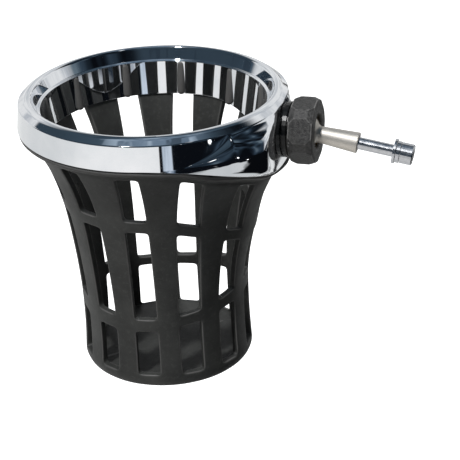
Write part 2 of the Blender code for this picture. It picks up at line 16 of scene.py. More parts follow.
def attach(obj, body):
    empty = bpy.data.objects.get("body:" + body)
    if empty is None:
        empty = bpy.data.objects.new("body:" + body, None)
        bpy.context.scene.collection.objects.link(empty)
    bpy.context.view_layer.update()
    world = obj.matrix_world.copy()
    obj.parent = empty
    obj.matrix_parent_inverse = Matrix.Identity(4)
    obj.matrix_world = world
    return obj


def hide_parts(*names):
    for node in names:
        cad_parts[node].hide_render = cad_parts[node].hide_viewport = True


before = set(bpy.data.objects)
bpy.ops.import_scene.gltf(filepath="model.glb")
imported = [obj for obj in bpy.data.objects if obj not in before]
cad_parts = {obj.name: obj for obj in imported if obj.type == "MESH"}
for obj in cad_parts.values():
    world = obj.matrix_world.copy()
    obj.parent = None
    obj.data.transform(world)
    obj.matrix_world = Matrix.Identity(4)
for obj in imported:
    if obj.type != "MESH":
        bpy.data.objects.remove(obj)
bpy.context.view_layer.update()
MM = 0.001

# ---------------------------------------------------------------- driving dimensions, as in the CAD (mm)

RING_LOW_EDGE = 104.0
BOSS_DROP = 14.5
BOSS_SPREAD = math.radians(80)
BAND_RADIUS_LOW, BAND_RADIUS_HIGH, BAND_WALL = 56.1, 55.0, 2.7
BAND_TOP, RING_TOP = 114.1, 116.6
INNER_EDGE_RADIUS, INNER_EDGE_HEIGHT = 47.8, 111.3
SLEEVE_FOOT_RADIUS, SLEEVE_WALL, SLEEVE_DROP, SLEEVE_LEAN = 45.0, 1.2, 7.7, 2.4
CHANNEL_ROOF = 110.0
BULGE = 5.2
BULGE_ANGLES = (math.radians(62), math.radians(26))
FAR_BULGE_ANGLES = (math.radians(30), math.radians(12))
CREST_SPREAD = math.radians(21)
BOSS_FACE_X = 55.5

SLOTS = 12
SLOT_HALF = 4.75
SLOT_OFFSET = math.radians(4)
BACK_TURN_TOP, BACK_TURN_FOOT, BACK_TURN_HEIGHT = math.radians(0.9), math.radians(2.8), 50.0
BASKET_WALL = 3.0
BASKET_OUTLINE = (
    (0, 36.4),
    (12, 35.7),
    (28, 35.8),
    (42, 36.7),
    (56, 38.2),
    (70, 40.3),
    (86, 44.6),
    (99, 50.6),
)
FLOOR_UNDERSIDE = -4.0
LOW_ROW, MIDDLE_ROW, UPPER_ROW = (2.2, 22.9), (29.2, 70.2), (75.5, 97.5)
OUTER_SILL_WAVE = (0.35, 1.85, -71, 0, 0)
INNER_SILL_WAVE = (1.25, 0.95, -71, 0, 0)
LOW_TOP_WAVE = (23.2, 2.9, -31, 2.37, 2.7)
MIDDLE_FLOOR_WAVE = (28.7, 3.38, -38, 2.92, 21.4)

BALL_CENTRE = Vector((61.0, 0, 102.2)) * MM
BALL_RADIUS = 8.0
SOCKET_RADIUS, SOCKET_BACK_X, SOCKET_CLEARANCE = 10.3, 50.5, 0.05
STEM_TILT = math.radians(9.5)
STEM_NECK, STEM_END_RADIUS, STEM_LENGTH, STEM_HOLE = 3.4, 4.3, 24.0, 2.8

# ---------------------------------------------------------------- camera and studio (m, the lens in mm)

LENS, SENSOR = 123.954, 36
CAMERA_MATRIX = Matrix(
    (
        (0.96455, -0.08041, 0.25136, 0.19639),
        (0.26078, 0.43671, -0.86097, -0.57034),
        (-0.04054, 0.896, 0.4422, 0.34766),
        (0, 0, 0, 1),
    )
)
FLOOR_HEIGHT = -0.30
FLOOR_SIZE = 24.0

# The studio's front, as an angle round +Z. Its walls are set by degrees to the right of it.
STUDIO_FRONT = math.radians(-71)
SUN_AZIMUTH, SUN_ELEVATION, SUN_ENERGY, SUN_ANGLE = -110.3, 60, 2.6, math.radians(4.0)


# ---------------------------------------------------------------- shared shape helpers


def smooth_step(value):
    value = min(max(value, 0), 1)
    return value * value * (3 - 2 * value)


def low_edge(angle):
    """Height of the ring's lower edge, which sinks towards the boss."""
    nearness = max(0, 1 - abs(angle) / BOSS_SPREAD)
    return RING_LOW_EDGE - BOSS_DROP * 0.5 * (1 - math.cos(math.pi * nearness))


def wrapped(angle):
    return (angle + math.pi) % (2 * math.pi) - math.pi


def curve_through(points, x):
    """A smooth curve's value at x, through points of (x, value)."""
    i = max(0, min(len(points) - 2, sum(x >= p[0] for p in points) - 1))
    (x0, y0), (x1, y1) = points[i], points[i + 1]
    before, after = points[max(i - 1, 0)], points[min(i + 2, len(points) - 1)]
    slope0 = (y1 - before[1]) / (x1 - before[0])
    slope1 = (after[1] - y0) / (after[0] - x0)
    t = (x - x0) / (x1 - x0)
    span = x1 - x0
    start = y0 * (1 + 2 * t) * (1 - t) ** 2 + slope0 * span * t * (1 - t) ** 2
    return start + y1 * t * t * (3 - 2 * t) + slope1 * span * t * t * (t - 1)


def rounded(points, steps=5):
    """The closed outline (x, y, size of its rounding) with its corners rounded off."""
    outline = []
    for i, (x, y, size) in enumerate(points):
        if size <= 0:
            outline.append((x, y))
            continue
        here = Vector((x, y))
        ends = []
        for other in (points[i - 1], points[(i + 1) % len(points)]):
            way = Vector(other[:2]) - here
            ends.append(here + way.normalized() * min(size, way.length * 0.45))
        for k in range(steps + 1):
            t = k / steps
            p = ends[0] * (1 - t) ** 2 + here * 2 * t * (1 - t) + ends[1] * t * t
            outline.append((p.x, p.y))
    return outline


def piece(name, shape, look, body, nodes=(), sharp=None):
    """Makes an object of the bmesh (in mm), which rides on a body and is shown in place of these CAD nodes,
    which it hides.
    """
    bmesh.ops.scale(shape, vec=(MM, MM, MM), verts=shape.verts)
    bmesh.ops.recalc_face_normals(shape, faces=shape.faces)
    mesh = bpy.data.meshes.new(name)
    shape.to_mesh(mesh)
    shape.free()
    mesh.shade_smooth()
    if sharp:
        mesh.set_sharp_from_angle(angle=math.radians(sharp))
    mesh.materials.append(look)
    obj = bpy.data.objects.new(name, mesh)
    bpy.context.scene.collection.objects.link(obj)
    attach(obj, body)
    if nodes:
        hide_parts(*nodes)
    return obj


def spun(profile, steps):
    """A bmesh: the closed outline of (radius, height) turned round Z, with points on the axis merged."""
    shape = bmesh.new()
    rings = []
    for radius, height in profile:
        if radius < 1e-6:
            rings.append([shape.verts.new((0, 0, height))])
            continue
        turns = [2 * math.pi * i / steps for i in range(steps)]
        rings.append([shape.verts.new((radius * math.cos(a), radius * math.sin(a), height)) for a in turns])
    for first, second in zip(rings, rings[1:] + rings[:1]):
        if len(first) == 1 and len(second) == 1:
            continue
        for i in range(steps):
            j = (i + 1) % steps
            corners = [first[i % len(first)], first[j % len(first)]]
            corners += [second[j % len(second)], second[i % len(second)]]
            shape.faces.new(list(dict.fromkeys(corners)))
    return shape


# ---------------------------------------------------------------- node graphs


OBJECT_PLACE, POINTINESS = 3, 7  # which output of Texture Coordinate, and of Geometry


class Graph:
    """Adds nodes to a node tree: an input is a number, a colour or another node's output."""

    def __init__(self, tree):
        self.tree = tree
        tree.nodes.clear()

    def add(self, kind, output=0, settings=None, **inputs):
        node = self.tree.nodes.new(kind)
        for name, value in (settings or {}).items():
            setattr(node, name, value)
        for name, value in inputs.items():
            key = int(name[2:]) if name.startswith("at") else name.replace("_", " ")
            socket = node.inputs[key]
            if isinstance(value, bpy.types.NodeSocket):
                self.tree.links.new(value, socket)
            else:
                socket.default_value = value
        return node.outputs[output]

    def maths(self, operation, *values):
        inputs = {f"at{i}": value for i, value in enumerate(values)}
        return self.add("ShaderNodeMath", settings={"operation": operation}, **inputs)

    def both(self, first, second):
        return self.maths("MULTIPLY", first, second)

    def either(self, first, second):
        return self.maths("MAXIMUM", first, second)

    def step(self, value, low, high):
        """0 at low, 1 at high and smooth between; low may be the greater of the two."""
        smooth = {"interpolation_type": "SMOOTHSTEP"}
        return self.add("ShaderNodeMapRange", settings=smooth, Value=value, From_Min=low, From_Max=high)

    def between(self, value, low, high, result_low, result_high):
        """Carries a value from the span low to high over to the span of the results."""
        ends = {"From_Min": low, "From_Max": high, "To_Min": result_low, "To_Max": result_high}
        return self.add("ShaderNodeMapRange", Value=value, **ends)

    def mix(self, share, first, second):
        colours = {"data_type": "RGBA"}
        return self.add("ShaderNodeMix", output=2, settings=colours, at0=share, at6=first, at7=second)

    def ramp(self, value, stops):
        node = self.tree.nodes.new("ShaderNodeValToRGB")
        self.tree.links.new(value, node.inputs[0])
        elements = node.color_ramp.elements
        while len(elements) < len(stops):
            elements.new(0.5)
        for element, (place, tone) in zip(elements, stops):
            element.position = place
            element.color = tone
        return node.outputs[0]

    def noise(self, scale, detail=2.0, roughness=0.5, where=None):
        place = self.add("ShaderNodeTexCoord", output=OBJECT_PLACE) if where is None else where
        return self.add("ShaderNodeTexNoise", Vector=place, Scale=scale, Detail=detail, Roughness=roughness)

    def sharp_edge(self, start, full):
        """1 on the sharpest outer edges, 0 on flat and hollow parts."""
        return self.step(self.add("ShaderNodeNewGeometry", output=POINTINESS), start, full)


def grey(value, warmth=0.0):
    return (value * (1 + warmth), value, value * (1 - warmth), 1)


def colour(code):
    """A scene colour from a six-digit display colour."""
    levels = [int(code[i : i + 2], 16) / 255 for i in (0, 2, 4)]
    return tuple(((v + 0.055) / 1.055) ** 2.4 if v > 0.04045 else v / 12.92 for v in levels) + (1,)


def new_material(name):
    made = bpy.data.materials.new(name)
    made.use_nodes = True
    graph = Graph(made.node_tree)
    return made, graph


def close_material(graph, bump=None, **inputs):
    if bump:
        inputs["Normal"] = graph.add("ShaderNodeBump", **bump)
    shader = graph.add("ShaderNodeBsdfPrincipled", **inputs)
    graph.tree.links.new(shader, graph.tree.nodes.new("ShaderNodeOutputMaterial").inputs[0])


# ---------------------------------------------------------------- materials

# Noise scales are cells per metre, bump distances are metres.


def chrome_material():
    """Plated and polished, with a faint ripple of the casting beneath and hazier patches of handling."""
    made, graph = new_material("mirror_chrome")
    haze = graph.noise(90, 3)
    ripple = graph.noise(45, 1)
    close_material(
        graph,
        Base_Color=graph.ramp(haze, ((0.3, colour("dfe3e8")), (0.7, colour("eceef2")))),
        Metallic=1.0,
        Roughness=graph.between(haze, 0.35, 0.75, 0.004, 0.03),
        Coat_Weight=0.6,
        Coat_Roughness=0.14,
        bump={"Height": ripple, "Strength": 0.04, "Distance": 0.001},
    )
    return made


def rubber_tone(value):
    """A dark grey that leans a little to green."""
    return (value * 0.99, value * 1.02, value * 0.96, 1)


def rubber_material():
    """Satin moulded rubber: mottled and dusty, with a painted highlight on its sharpest edges and a fine
    tooth.
    """
    made, graph = new_material("moulded_rubber")
    blotch = graph.noise(55, 5, 0.6)
    tooth = graph.noise(1600, 2)
    dust = graph.noise(520, 4, 0.75)
    # painted highlight: the sharpest edges and lips are lightened as if they caught the light
    edge_highlight = graph.both(graph.sharp_edge(0.505, 0.54), 0.8)
    dusty = graph.both(graph.step(dust, 0.5, 0.68), 0.4)
    tones = ((0.32, rubber_tone(0.019)), (0.5, rubber_tone(0.027)), (0.68, rubber_tone(0.038)))
    body = graph.mix(dusty, graph.ramp(blotch, tones), rubber_tone(0.06))
    close_material(
        graph,
        # the paler tone of the painted edge highlight
        Base_Color=graph.mix(edge_highlight, body, grey(0.13, 0.02)),
        Specular_IOR_Level=0.38,
        Roughness=graph.between(blotch, 0.3, 0.7, 0.58, 0.46),
        bump={"Height": tooth, "Strength": 0.18, "Distance": 0.0002},
    )
    return made


def nylon_material():
    """Glass-filled nylon with a pebbled skin, paler on its sharpest edges."""
    made, graph = new_material("pebbled_nylon")
    place = graph.add("ShaderNodeTexCoord", output=OBJECT_PLACE)
    pebble = graph.add("ShaderNodeTexVoronoi", Vector=place, Scale=2100.0)
    grain = graph.noise(900, 3)
    # paler along the sharpest edges of the pads
    paler_edge = graph.both(graph.sharp_edge(0.505, 0.535), 0.8)
    body = graph.ramp(grain, ((0.35, grey(0.018, 0.02)), (0.65, grey(0.058, 0.02))))
    skin = graph.maths("ADD", pebble, grain)
    close_material(
        graph,
        Base_Color=graph.mix(paler_edge, body, grey(0.24, 0.02)),
        Roughness=graph.between(grain, 0.3, 0.7, 0.42, 0.6),
        bump={"Height": skin, "Strength": 0.5, "Distance": 0.00025},
    )
    return made


def metal_material(name, tone, roughness, grain_scale, strength):
    """A plain metal with its own grain, darker and rougher where the grain is."""
    made, graph = new_material(name)
    grain = graph.noise(grain_scale, 3)
    darker = tuple(c * 0.82 for c in tone[:3]) + (1,)
    close_material(
        graph,
        Base_Color=graph.ramp(grain, ((0.3, darker), (0.7, tone))),
        Metallic=1.0,
        Roughness=graph.between(grain, 0.3, 0.7, roughness * 0.85, roughness * 1.15),
        bump={"Height": grain, "Strength": strength, "Distance": 0.0001},
    )
    return made


def painted_shade_socket_material():
    """Near-black and satin, with a faint cloudiness: painted shade, so that the gap between the boss and
    the knob looks as dark as its shadow.
    """
    made, graph = new_material("painted_shade_socket_steel")
    cloud = graph.noise(300, 3)
    close_material(
        graph,
        # painted shade: a near-black tone for the socket in the shadowed gap
        Base_Color=graph.ramp(cloud, ((0.3, grey(0.005)), (0.7, grey(0.009)))),
        Roughness=graph.between(cloud, 0.3, 0.7, 0.22, 0.32),
        Specular_IOR_Level=0.3,
        bump={"Height": cloud, "Strength": 0.05, "Distance": 0.0001},
    )
    return made


def seat_material():
    """Natural acetal, slightly waxy."""
    made, graph = new_material("seat_acetal")
    cloud = graph.noise(140, 2)
    close_material(
        graph,
        Base_Color=graph.ramp(cloud, ((0.3, grey(0.66, 0.03)), (0.7, grey(0.76, 0.04)))),
        Roughness=graph.between(cloud, 0.3, 0.7, 0.38, 0.5),
        bump={"Height": cloud, "Strength": 0.05, "Distance": 0.0002},
    )
    return made


# ---------------------------------------------------------------- ring


# How far the boss swells, as a share of BULGE, by the share of the way from its lower edge to its crest.
BULGE_PROFILE = ((0, 0.5), (0.12, 0.8), (0.35, 1), (0.6, 1), (0.85, 0.75), (1, 0.1))
# The crest runs from this far above the lower edge up to this far below the band's top.
CREST_LEAST, CREST_BELOW_BAND = 2, 1

# The ring's rounded top, by how far in from the band each point lies: bevel, crest and inner slope.
BEVEL_DEPTH, CREST_DEPTH, SLOPE_DEPTH, SHOULDER_DROP = 2.8, 4.5, 5.5, 0.45
EDGE_OVERHANG, SLEEVE_TAPER, LEDGE_DROP = 0.4, 1.2, 0.3
CHANNEL_RISE = 1.2
FACE_ROUNDING = 2.2


def bulge_at(angle):
    """How far the boss stands out at this angle, and the height where it meets the band."""
    near = abs(angle)
    low = low_edge(angle)
    start, full = BULGE_ANGLES if angle < 0 else FAR_BULGE_ANGLES
    amount = BULGE * smooth_step((start - near) / (start - full))
    rise = min(max((start - near) / CREST_SPREAD, 0), 1)
    crest = low + CREST_LEAST + (BAND_TOP - CREST_BELOW_BAND - low - CREST_LEAST) * rise
    return amount, crest


def sleeve_outer(angle, height):
    """Radius of the sleeve's outer side, which leans out towards the channel's roof."""
    foot = low_edge(angle) - SLEEVE_DROP
    return SLEEVE_FOOT_RADIUS + SLEEVE_WALL + (height - foot) / (CHANNEL_ROOF - foot) * SLEEVE_LEAN


def ring_section(angle, samples=18):
    """The ring's outline at this angle: band or boss, top, sleeve and the hollow between them."""
    low = low_edge(angle)
    amount, crest = bulge_at(angle)
    under = low + CHANNEL_RISE
    corners = [(BAND_RADIUS_LOW - BAND_WALL, low, 0.4)]
    for k in range(samples + 1):
        up = k / samples
        height = low + (crest - low) * up
        share = min(max((height - RING_LOW_EDGE) / (BAND_TOP - RING_LOW_EDGE), 0), 1)
        radius = BAND_RADIUS_LOW + (BAND_RADIUS_HIGH - BAND_RADIUS_LOW) * share
        corners.append((radius + amount * curve_through(BULGE_PROFILE, up), height, 0.5 if k == 0 else 0))
    corners += [
        (BAND_RADIUS_HIGH, BAND_TOP, 0.35),
        (BAND_RADIUS_HIGH - BEVEL_DEPTH, RING_TOP - SHOULDER_DROP, 1.1),
        (BAND_RADIUS_HIGH - CREST_DEPTH, RING_TOP, 0.7),
        (BAND_RADIUS_HIGH - SLOPE_DEPTH, RING_TOP - SHOULDER_DROP, 0.9),
        (INNER_EDGE_RADIUS - EDGE_OVERHANG, INNER_EDGE_HEIGHT, 0.25),
        (SLEEVE_FOOT_RADIUS + SLEEVE_TAPER, INNER_EDGE_HEIGHT - LEDGE_DROP, 0.25),
        (SLEEVE_FOOT_RADIUS, low - SLEEVE_DROP, 0.3),
        (SLEEVE_FOOT_RADIUS + SLEEVE_WALL, low - SLEEVE_DROP, 0.3),
        (sleeve_outer(angle, under), under, 0.2),
        (BAND_RADIUS_LOW - BAND_WALL - 0.1, under, 0.2),
    ]
    return rounded(corners)


def on_boss_face(x):
    """Presses what stands past the boss's face back onto it, with a rounded edge."""
    start = BOSS_FACE_X - FACE_ROUNDING
    if x <= start:
        return x
    return BOSS_FACE_X - FACE_ROUNDING * math.exp(-(x - start) / FACE_ROUNDING)


def bored(shape):
    """The shape with the round seat for the joint's socket cut into its boss."""
    radius = SOCKET_RADIUS + SOCKET_CLEARANCE
    # From just behind the socket's back to well past the boss's face.
    back, front = SOCKET_BACK_X - 0.1, BOSS_FACE_X + 5
    cutter = spun([(0, back), (radius, back), (radius, front), (0, front)], 128)
    across = Matrix.Translation((0, 0, BALL_CENTRE.z / MM)) @ Matrix.Rotation(math.pi / 2, 4, "Y")
    bmesh.ops.transform(cutter, matrix=across, verts=cutter.verts)
    pair = []
    for name, source in (("casting_blank", shape), ("socket_cutter", cutter)):
        bmesh.ops.recalc_face_normals(source, faces=source.faces)
        mesh = bpy.data.meshes.new(name)
        source.to_mesh(mesh)
        source.free()
        pair.append(bpy.data.objects.new(name, mesh))
        bpy.context.scene.collection.objects.link(pair[-1])
    cut = pair[0].modifiers.new("socket_seat", "BOOLEAN")
    cut.object = pair[1]
    cut.operation = "DIFFERENCE"
    cut.solver = "EXACT"
    graph = bpy.context.evaluated_depsgraph_get()
    result = bmesh.new()
    result.from_object(pair[0], graph)
    for blank in pair:
        mesh = blank.data
        bpy.data.objects.remove(blank)
        bpy.data.meshes.remove(mesh)
    return result


def make_ring(look, columns=432):
    """The casting: its outline carried round the axis, then pressed flat and bored at the boss."""
    shape = bmesh.new()
    loops = []
    for i in range(columns):
        angle = 2 * math.pi * i / columns
        loop = []
        for radius, height in ring_section(wrapped(angle)):
            x = on_boss_face(radius * math.cos(angle))
            loop.append(shape.verts.new((x, radius * math.sin(angle), height)))
        loops.append(loop)
    for first, second in zip(loops, loops[1:] + loops[:1]):
        for i in range(len(first)):
            j = (i + 1) % len(first)
            shape.faces.new((first[i], first[j], second[j], second[i]))
    ring = piece("ring_casting", bored(shape), look, "holder", ["holder_ring"])
    ring.modifiers.new("flat_faces_stay_flat", "WEIGHTED_NORMAL")
    return ring


# ---------------------------------------------------------------- basket


def wave(row, angle):
    """A row's height at this angle: its mean, and a wave of one turn and of half a turn."""
    mean, first, first_phase, second, second_phase = row
    height = mean + first * math.cos(angle - math.radians(first_phase))
    return height + second * math.cos(2 * angle - math.radians(second_phase))


def bent_height(nominal, angle, sill_wave):
    """Where a height of the plain basket ends up once its rows follow the ring and their waves."""
    drop = RING_LOW_EDGE - low_edge(angle)
    anchors = [
        (LOW_ROW[0], wave(sill_wave, angle)),
        (LOW_ROW[1], wave(LOW_TOP_WAVE, angle)),
        (MIDDLE_ROW[0], wave(MIDDLE_FLOOR_WAVE, angle)),
        (MIDDLE_ROW[1], MIDDLE_ROW[1] - drop),
        (UPPER_ROW[0], UPPER_ROW[0] - drop),
        (UPPER_ROW[1], UPPER_ROW[1] - drop),
    ]
    for (z0, real0), (z1, real1) in zip(anchors, anchors[1:]):
        if nominal <= z1:
            return real0 + (nominal - z0) * (real1 - real0) / (z1 - z0)
    return nominal - drop


# How far from a slot's edge the cage's next lines stand, which sets how round it turns: out onto the
# wall, in towards the slot's middle at its corners, and into the wall's thickness.
LIP = 1.5
CORNER = 2.6
SIDE_LIP = 0.8
PILLAR_COLUMNS = 2
SLOT_RIGHT = (SLOT_HALF - CORNER, SLOT_HALF, SLOT_HALF + LIP)
SLOT_COLUMNS = tuple(-x for x in reversed(SLOT_RIGHT)) + SLOT_RIGHT
SLOT_FIRST, SLOT_LAST = 1, 4  # which of these lines are the slot's two edges
# Inside this radius, on the floor, the lines run straight to the middle.
LEAST_COLUMN_RADIUS = 31
MIDWAY_RADIUS = 42


def slot_angle(slot, height):
    """Angle of a slot's middle. The slots at the back stand a little round from an even spacing."""
    even = SLOT_OFFSET + 2 * math.pi * slot / SLOTS
    share = (height - BACK_TURN_HEIGHT) / (RING_LOW_EDGE - BACK_TURN_HEIGHT)
    most = BACK_TURN_FOOT + (BACK_TURN_TOP - BACK_TURN_FOOT) * min(max(share, 0), 1)
    return even - most * smooth_step((math.sin(even) + 0.2) / 1.2)


def column_angle(column, radius, height):
    """Angle of one upright line of the cage. A slot's lines stay parallel to each other."""
    slot, part = column
    radius = max(radius, LEAST_COLUMN_RADIUS)
    centre = slot_angle(slot, height)
    edge = math.asin(SLOT_COLUMNS[-1] / radius)
    if part < len(SLOT_COLUMNS):
        return centre + math.asin(SLOT_COLUMNS[part] / radius)
    share = (part - len(SLOT_COLUMNS) + 1) / (PILLAR_COLUMNS + 1)
    return centre + edge + (slot_angle(slot + 1, height) - centre - 2 * edge) * share


ROWS_INSIDE_SLOTS = (2, 4, 2)


def wall_heights():
    """Nominal heights of the wall's rows, and for each row of slots its first and last row."""
    heights, rows = [], []
    for (low, high), between in zip((LOW_ROW, MIDDLE_ROW, UPPER_ROW), ROWS_INSIDE_SLOTS):
        heights += [low - LIP, low]
        first = len(heights) - 1
        gap = (high - low - 2 * CORNER) / (between + 1)
        heights += [low + CORNER + gap * i for i in range(between + 2)] + [high]
        rows.append((first, len(heights) - 1))
        if high < UPPER_ROW[1]:
            heights.append(high + LIP)
    return heights, rows


COLLAR_START, COLLAR_CLEARANCE = 95.8, 0.4


def inner_radius(nominal):
    """Radius of the wall's inside: level with the sleeve at most, and round the sleeve at the collar."""
    if nominal > COLLAR_START:
        return SLEEVE_FOOT_RADIUS + SLEEVE_WALL + COLLAR_CLEARANCE
    inside = curve_through(BASKET_OUTLINE, nominal) - BASKET_WALL
    return min(inside, SLEEVE_FOOT_RADIUS + COLLAR_CLEARANCE)


def wall_point(nominal, angle, depth):
    """(radius, height) in the wall, from depth 0 outside to depth 1 inside."""
    outer = (curve_through(BASKET_OUTLINE, nominal), bent_height(nominal, angle, OUTER_SILL_WAVE))
    inner = (inner_radius(nominal), max(bent_height(nominal, angle, INNER_SILL_WAVE), 0.15))
    return tuple(a + (b - a) * depth for a, b in zip(outer, inner))


def flange_points(angle):
    """From the slots' heads out under the ring's edge, and over to the wall's inner side."""
    low = low_edge(angle)
    return [
        (50.1, low - 5.3),
        (50.7, low - 4.5),
        (50.95, low - 4.05),
        (51.2, low - 3.85),
        (51.9, low - 3.75),
        (53.9, low - 3.3),
        (55.7, low - 2.3),
        (55.9, low - 0.9),
        (54.9, low - 0.4),
        (47.3, low - 0.5),
        (SLEEVE_FOOT_RADIUS + SLEEVE_WALL + 0.5, low - 1.3),
    ]


def underside_points(angle):
    """From under the lowest sill round the basket's foot and in below its floor."""
    support = bent_height(LOW_ROW[0] - LIP, angle, OUTER_SILL_WAVE)
    foot = [(36.0, (support - 3.3) / 2), (35.1, -3.7)]
    return foot + [(radius, FLOOR_UNDERSIDE) for radius in (33.6, 31.5, 16)]


# From the foot of the wall's inside in over the floor.
FLOOR_POINTS = ((32.5, 0.06), (31.2, 0), (29.0, 0), (15, 0))


class Cage:
    """The basket's control mesh: vertices by (row, column, layer), made when they are first used."""

    def __init__(self, point_at):
        self.shape = bmesh.new()
        self.columns = [(s, p) for s in range(SLOTS) for p in range(len(SLOT_COLUMNS) + PILLAR_COLUMNS)]
        self.point_at = point_at
        self.made = {}

    def vert(self, column, key):
        index = column % len(self.columns)
        if (index, key) not in self.made:
            place = self.columns[index]
            radius, height = self.point_at(key, wrapped(column_angle(place, MIDWAY_RADIUS, RING_LOW_EDGE)))
            angle = column_angle(place, radius, height)
            self.made[index, key] = self.shape.verts.new(
                (radius * math.cos(angle), radius * math.sin(angle), height)
            )
        return self.made[index, key]

    def strip(self, column, keys):
        """Faces between this column and the next, along the keys."""
        for a, b in zip(keys, keys[1:]):
            here = (self.vert(column, a), self.vert(column + 1, a))
            there = (self.vert(column + 1, b), self.vert(column, b))
            self.shape.faces.new(here + there)


def make_basket(look):
    """One closed cage: up the outside, over the flange, down the inside and across the floor, with the
    slots left open and lined, then subdivided so that every edge is moulded round."""
    heights, rows = wall_heights()
    depths = (0, SIDE_LIP / BASKET_WALL, 1 - SIDE_LIP / BASKET_WALL, 1)
    inmost = len(depths) - 1

    def point_at(key, angle):
        kind, index, layer = key
        if kind == "wall":
            return wall_point(heights[index], angle, depths[layer])
        if kind == "flange":
            return flange_points(angle)[index]
        if kind == "under":
            return underside_points(angle)[index]
        return FLOOR_POINTS[index]

    cage = Cage(point_at)
    top = len(heights) - 1
    last_under, last_floor = len(underside_points(0)) - 1, len(FLOOR_POINTS) - 1
    outside = [("under", i, 0) for i in reversed(range(last_under + 1))]
    outside += [("wall", i, 0) for i in range(top + 1)]
    inside = [("wall", i, inmost) for i in reversed(range(top + 1))]
    inside += [("floor", i, 0) for i in range(last_floor + 1)]
    over = [("flange", i, 0) for i in range(len(flange_points(0)))]
    chain = outside + over + inside
    parts = len(SLOT_COLUMNS) + PILLAR_COLUMNS
    for column in range(len(cage.columns)):
        part = column % parts
        in_slot = SLOT_FIRST <= part < SLOT_LAST
        for a, b in zip(chain, chain[1:]):
            walls = a[0] == "wall" and b[0] == "wall" and a[2] == b[2]
            low = min(a[1], b[1])
            if in_slot and walls and any(first <= low < last for first, last in rows):
                continue
            cage.strip(column, (a, b))
        for first, last in rows:
            if in_slot:
                cage.strip(column, [("wall", first, layer) for layer in reversed(range(inmost + 1))])
                cage.strip(column, [("wall", last, layer) for layer in range(inmost + 1)])
            if part in (SLOT_FIRST, SLOT_LAST):
                for row in range(first, last):
                    for layer in range(inmost):
                        corners = [("wall", row, layer), ("wall", row + 1, layer)]
                        corners += [("wall", row + 1, layer + 1), ("wall", row, layer + 1)]
                        cage.shape.faces.new([cage.vert(column, key) for key in corners])
    for height, key in ((FLOOR_UNDERSIDE, ("under", last_under, 0)), (0, ("floor", last_floor, 0))):
        centre = cage.shape.verts.new((0, 0, height))
        for column in range(len(cage.columns)):
            cage.shape.faces.new((cage.vert(column, key), cage.vert(column + 1, key), centre))
    basket = piece("basket_moulding", cage.shape, look, "holder", ["basket"])
    smooth = basket.modifiers.new("moulded_edges", "SUBSURF")
    smooth.levels = smooth.render_levels = 2
    return basket


RIB_RADIUS = 1.75
RIB_FOOT, RIB_HEAD = (45.05, -6.1), (47.2, 109.2)


def make_ribs(look):
    """Half-round ribs with round ends, which stand out from the inside of the ring's sleeve."""
    shape = bmesh.new()
    for k in range(SLOTS):
        angle = slot_angle(k, RING_LOW_EDGE)
        foot = Vector((RIB_FOOT[0], 0, low_edge(wrapped(angle)) + RIB_FOOT[1]))
        head = Vector((RIB_HEAD[0], 0, RIB_HEAD[1]))
        ball = bmesh.ops.create_uvsphere(shape, u_segments=24, v_segments=16, radius=RIB_RADIUS)["verts"]
        for vert in ball:
            vert.co = vert.co + (head if vert.co.z > 0 else foot)
        bmesh.ops.rotate(shape, verts=ball, cent=(0, 0, 0), matrix=Matrix.Rotation(angle, 3, "Z"))
    return piece("basket_ribs", shape, look, "holder", ["basket"])


# ---------------------------------------------------------------- knob and stem


KNOB_VOXEL, KNOB_SOFTENING, KNOB_SOFTENINGS = 0.24, 0.5, 5


def make_knob(look):
    """The CAD knob with its edges moulded round."""
    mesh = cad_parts["knob"].data.copy()
    mesh.materials.clear()
    mesh.materials.append(look)
    knob = bpy.data.objects.new("knob_moulding", mesh)
    bpy.context.scene.collection.objects.link(knob)
    remesh = knob.modifiers.new("skin", "REMESH")
    remesh.mode = "VOXEL"
    remesh.voxel_size = KNOB_VOXEL * MM
    remesh.use_smooth_shade = True
    soften = knob.modifiers.new("soften", "SMOOTH")
    soften.factor = KNOB_SOFTENING
    soften.iterations = KNOB_SOFTENINGS
    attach(knob, "knob")
    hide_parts("knob")
    return knob


NECK_FILLET = 1.9
BALL_STEPS, FILLET_STEPS = 40, 8


def make_stem(look):
    """The ball and stem, turned in one piece, with a rounded end and the screw's hole."""
    fillet = NECK_FILLET
    reach = math.sqrt((BALL_RADIUS + fillet) ** 2 - (STEM_NECK + fillet) ** 2)
    touch = math.atan2(STEM_NECK + fillet, reach)
    ball = [(0, -BALL_RADIUS)]
    for i in range(1, BALL_STEPS + 1):
        a = math.pi - (math.pi - touch) * i / BALL_STEPS
        ball.append((BALL_RADIUS * math.sin(a), BALL_RADIUS * math.cos(a)))
    arc = []
    for i in range(1, FILLET_STEPS + 1):
        a = math.radians(270) - touch + (touch - math.radians(90)) * i / FILLET_STEPS
        arc.append((STEM_NECK + fillet + fillet * math.cos(a), reach + fillet * math.sin(a)))
    end = STEM_LENGTH
    rest = rounded(
        [
            (STEM_NECK, reach + 0.3, 0),
            (STEM_END_RADIUS - 0.05, end - 0.2, 0.4),
            (STEM_END_RADIUS - 0.3, end, 0.3),
            (STEM_HOLE, end, 0.25),
            (STEM_HOLE, end - 10, 0),
            (0, end - 11.5, 0),
        ]
    )[1:]
    shape = spun(ball + arc + rest, 96)
    turn = Matrix.Translation(BALL_CENTRE / MM) @ Matrix.Rotation(math.pi / 2 + STEM_TILT, 4, "Y")
    bmesh.ops.transform(shape, matrix=turn, verts=shape.verts)
    return piece("stem_turning", shape, look, "stem", ["ball_stem"], sharp=50)


# ---------------------------------------------------------------- studio


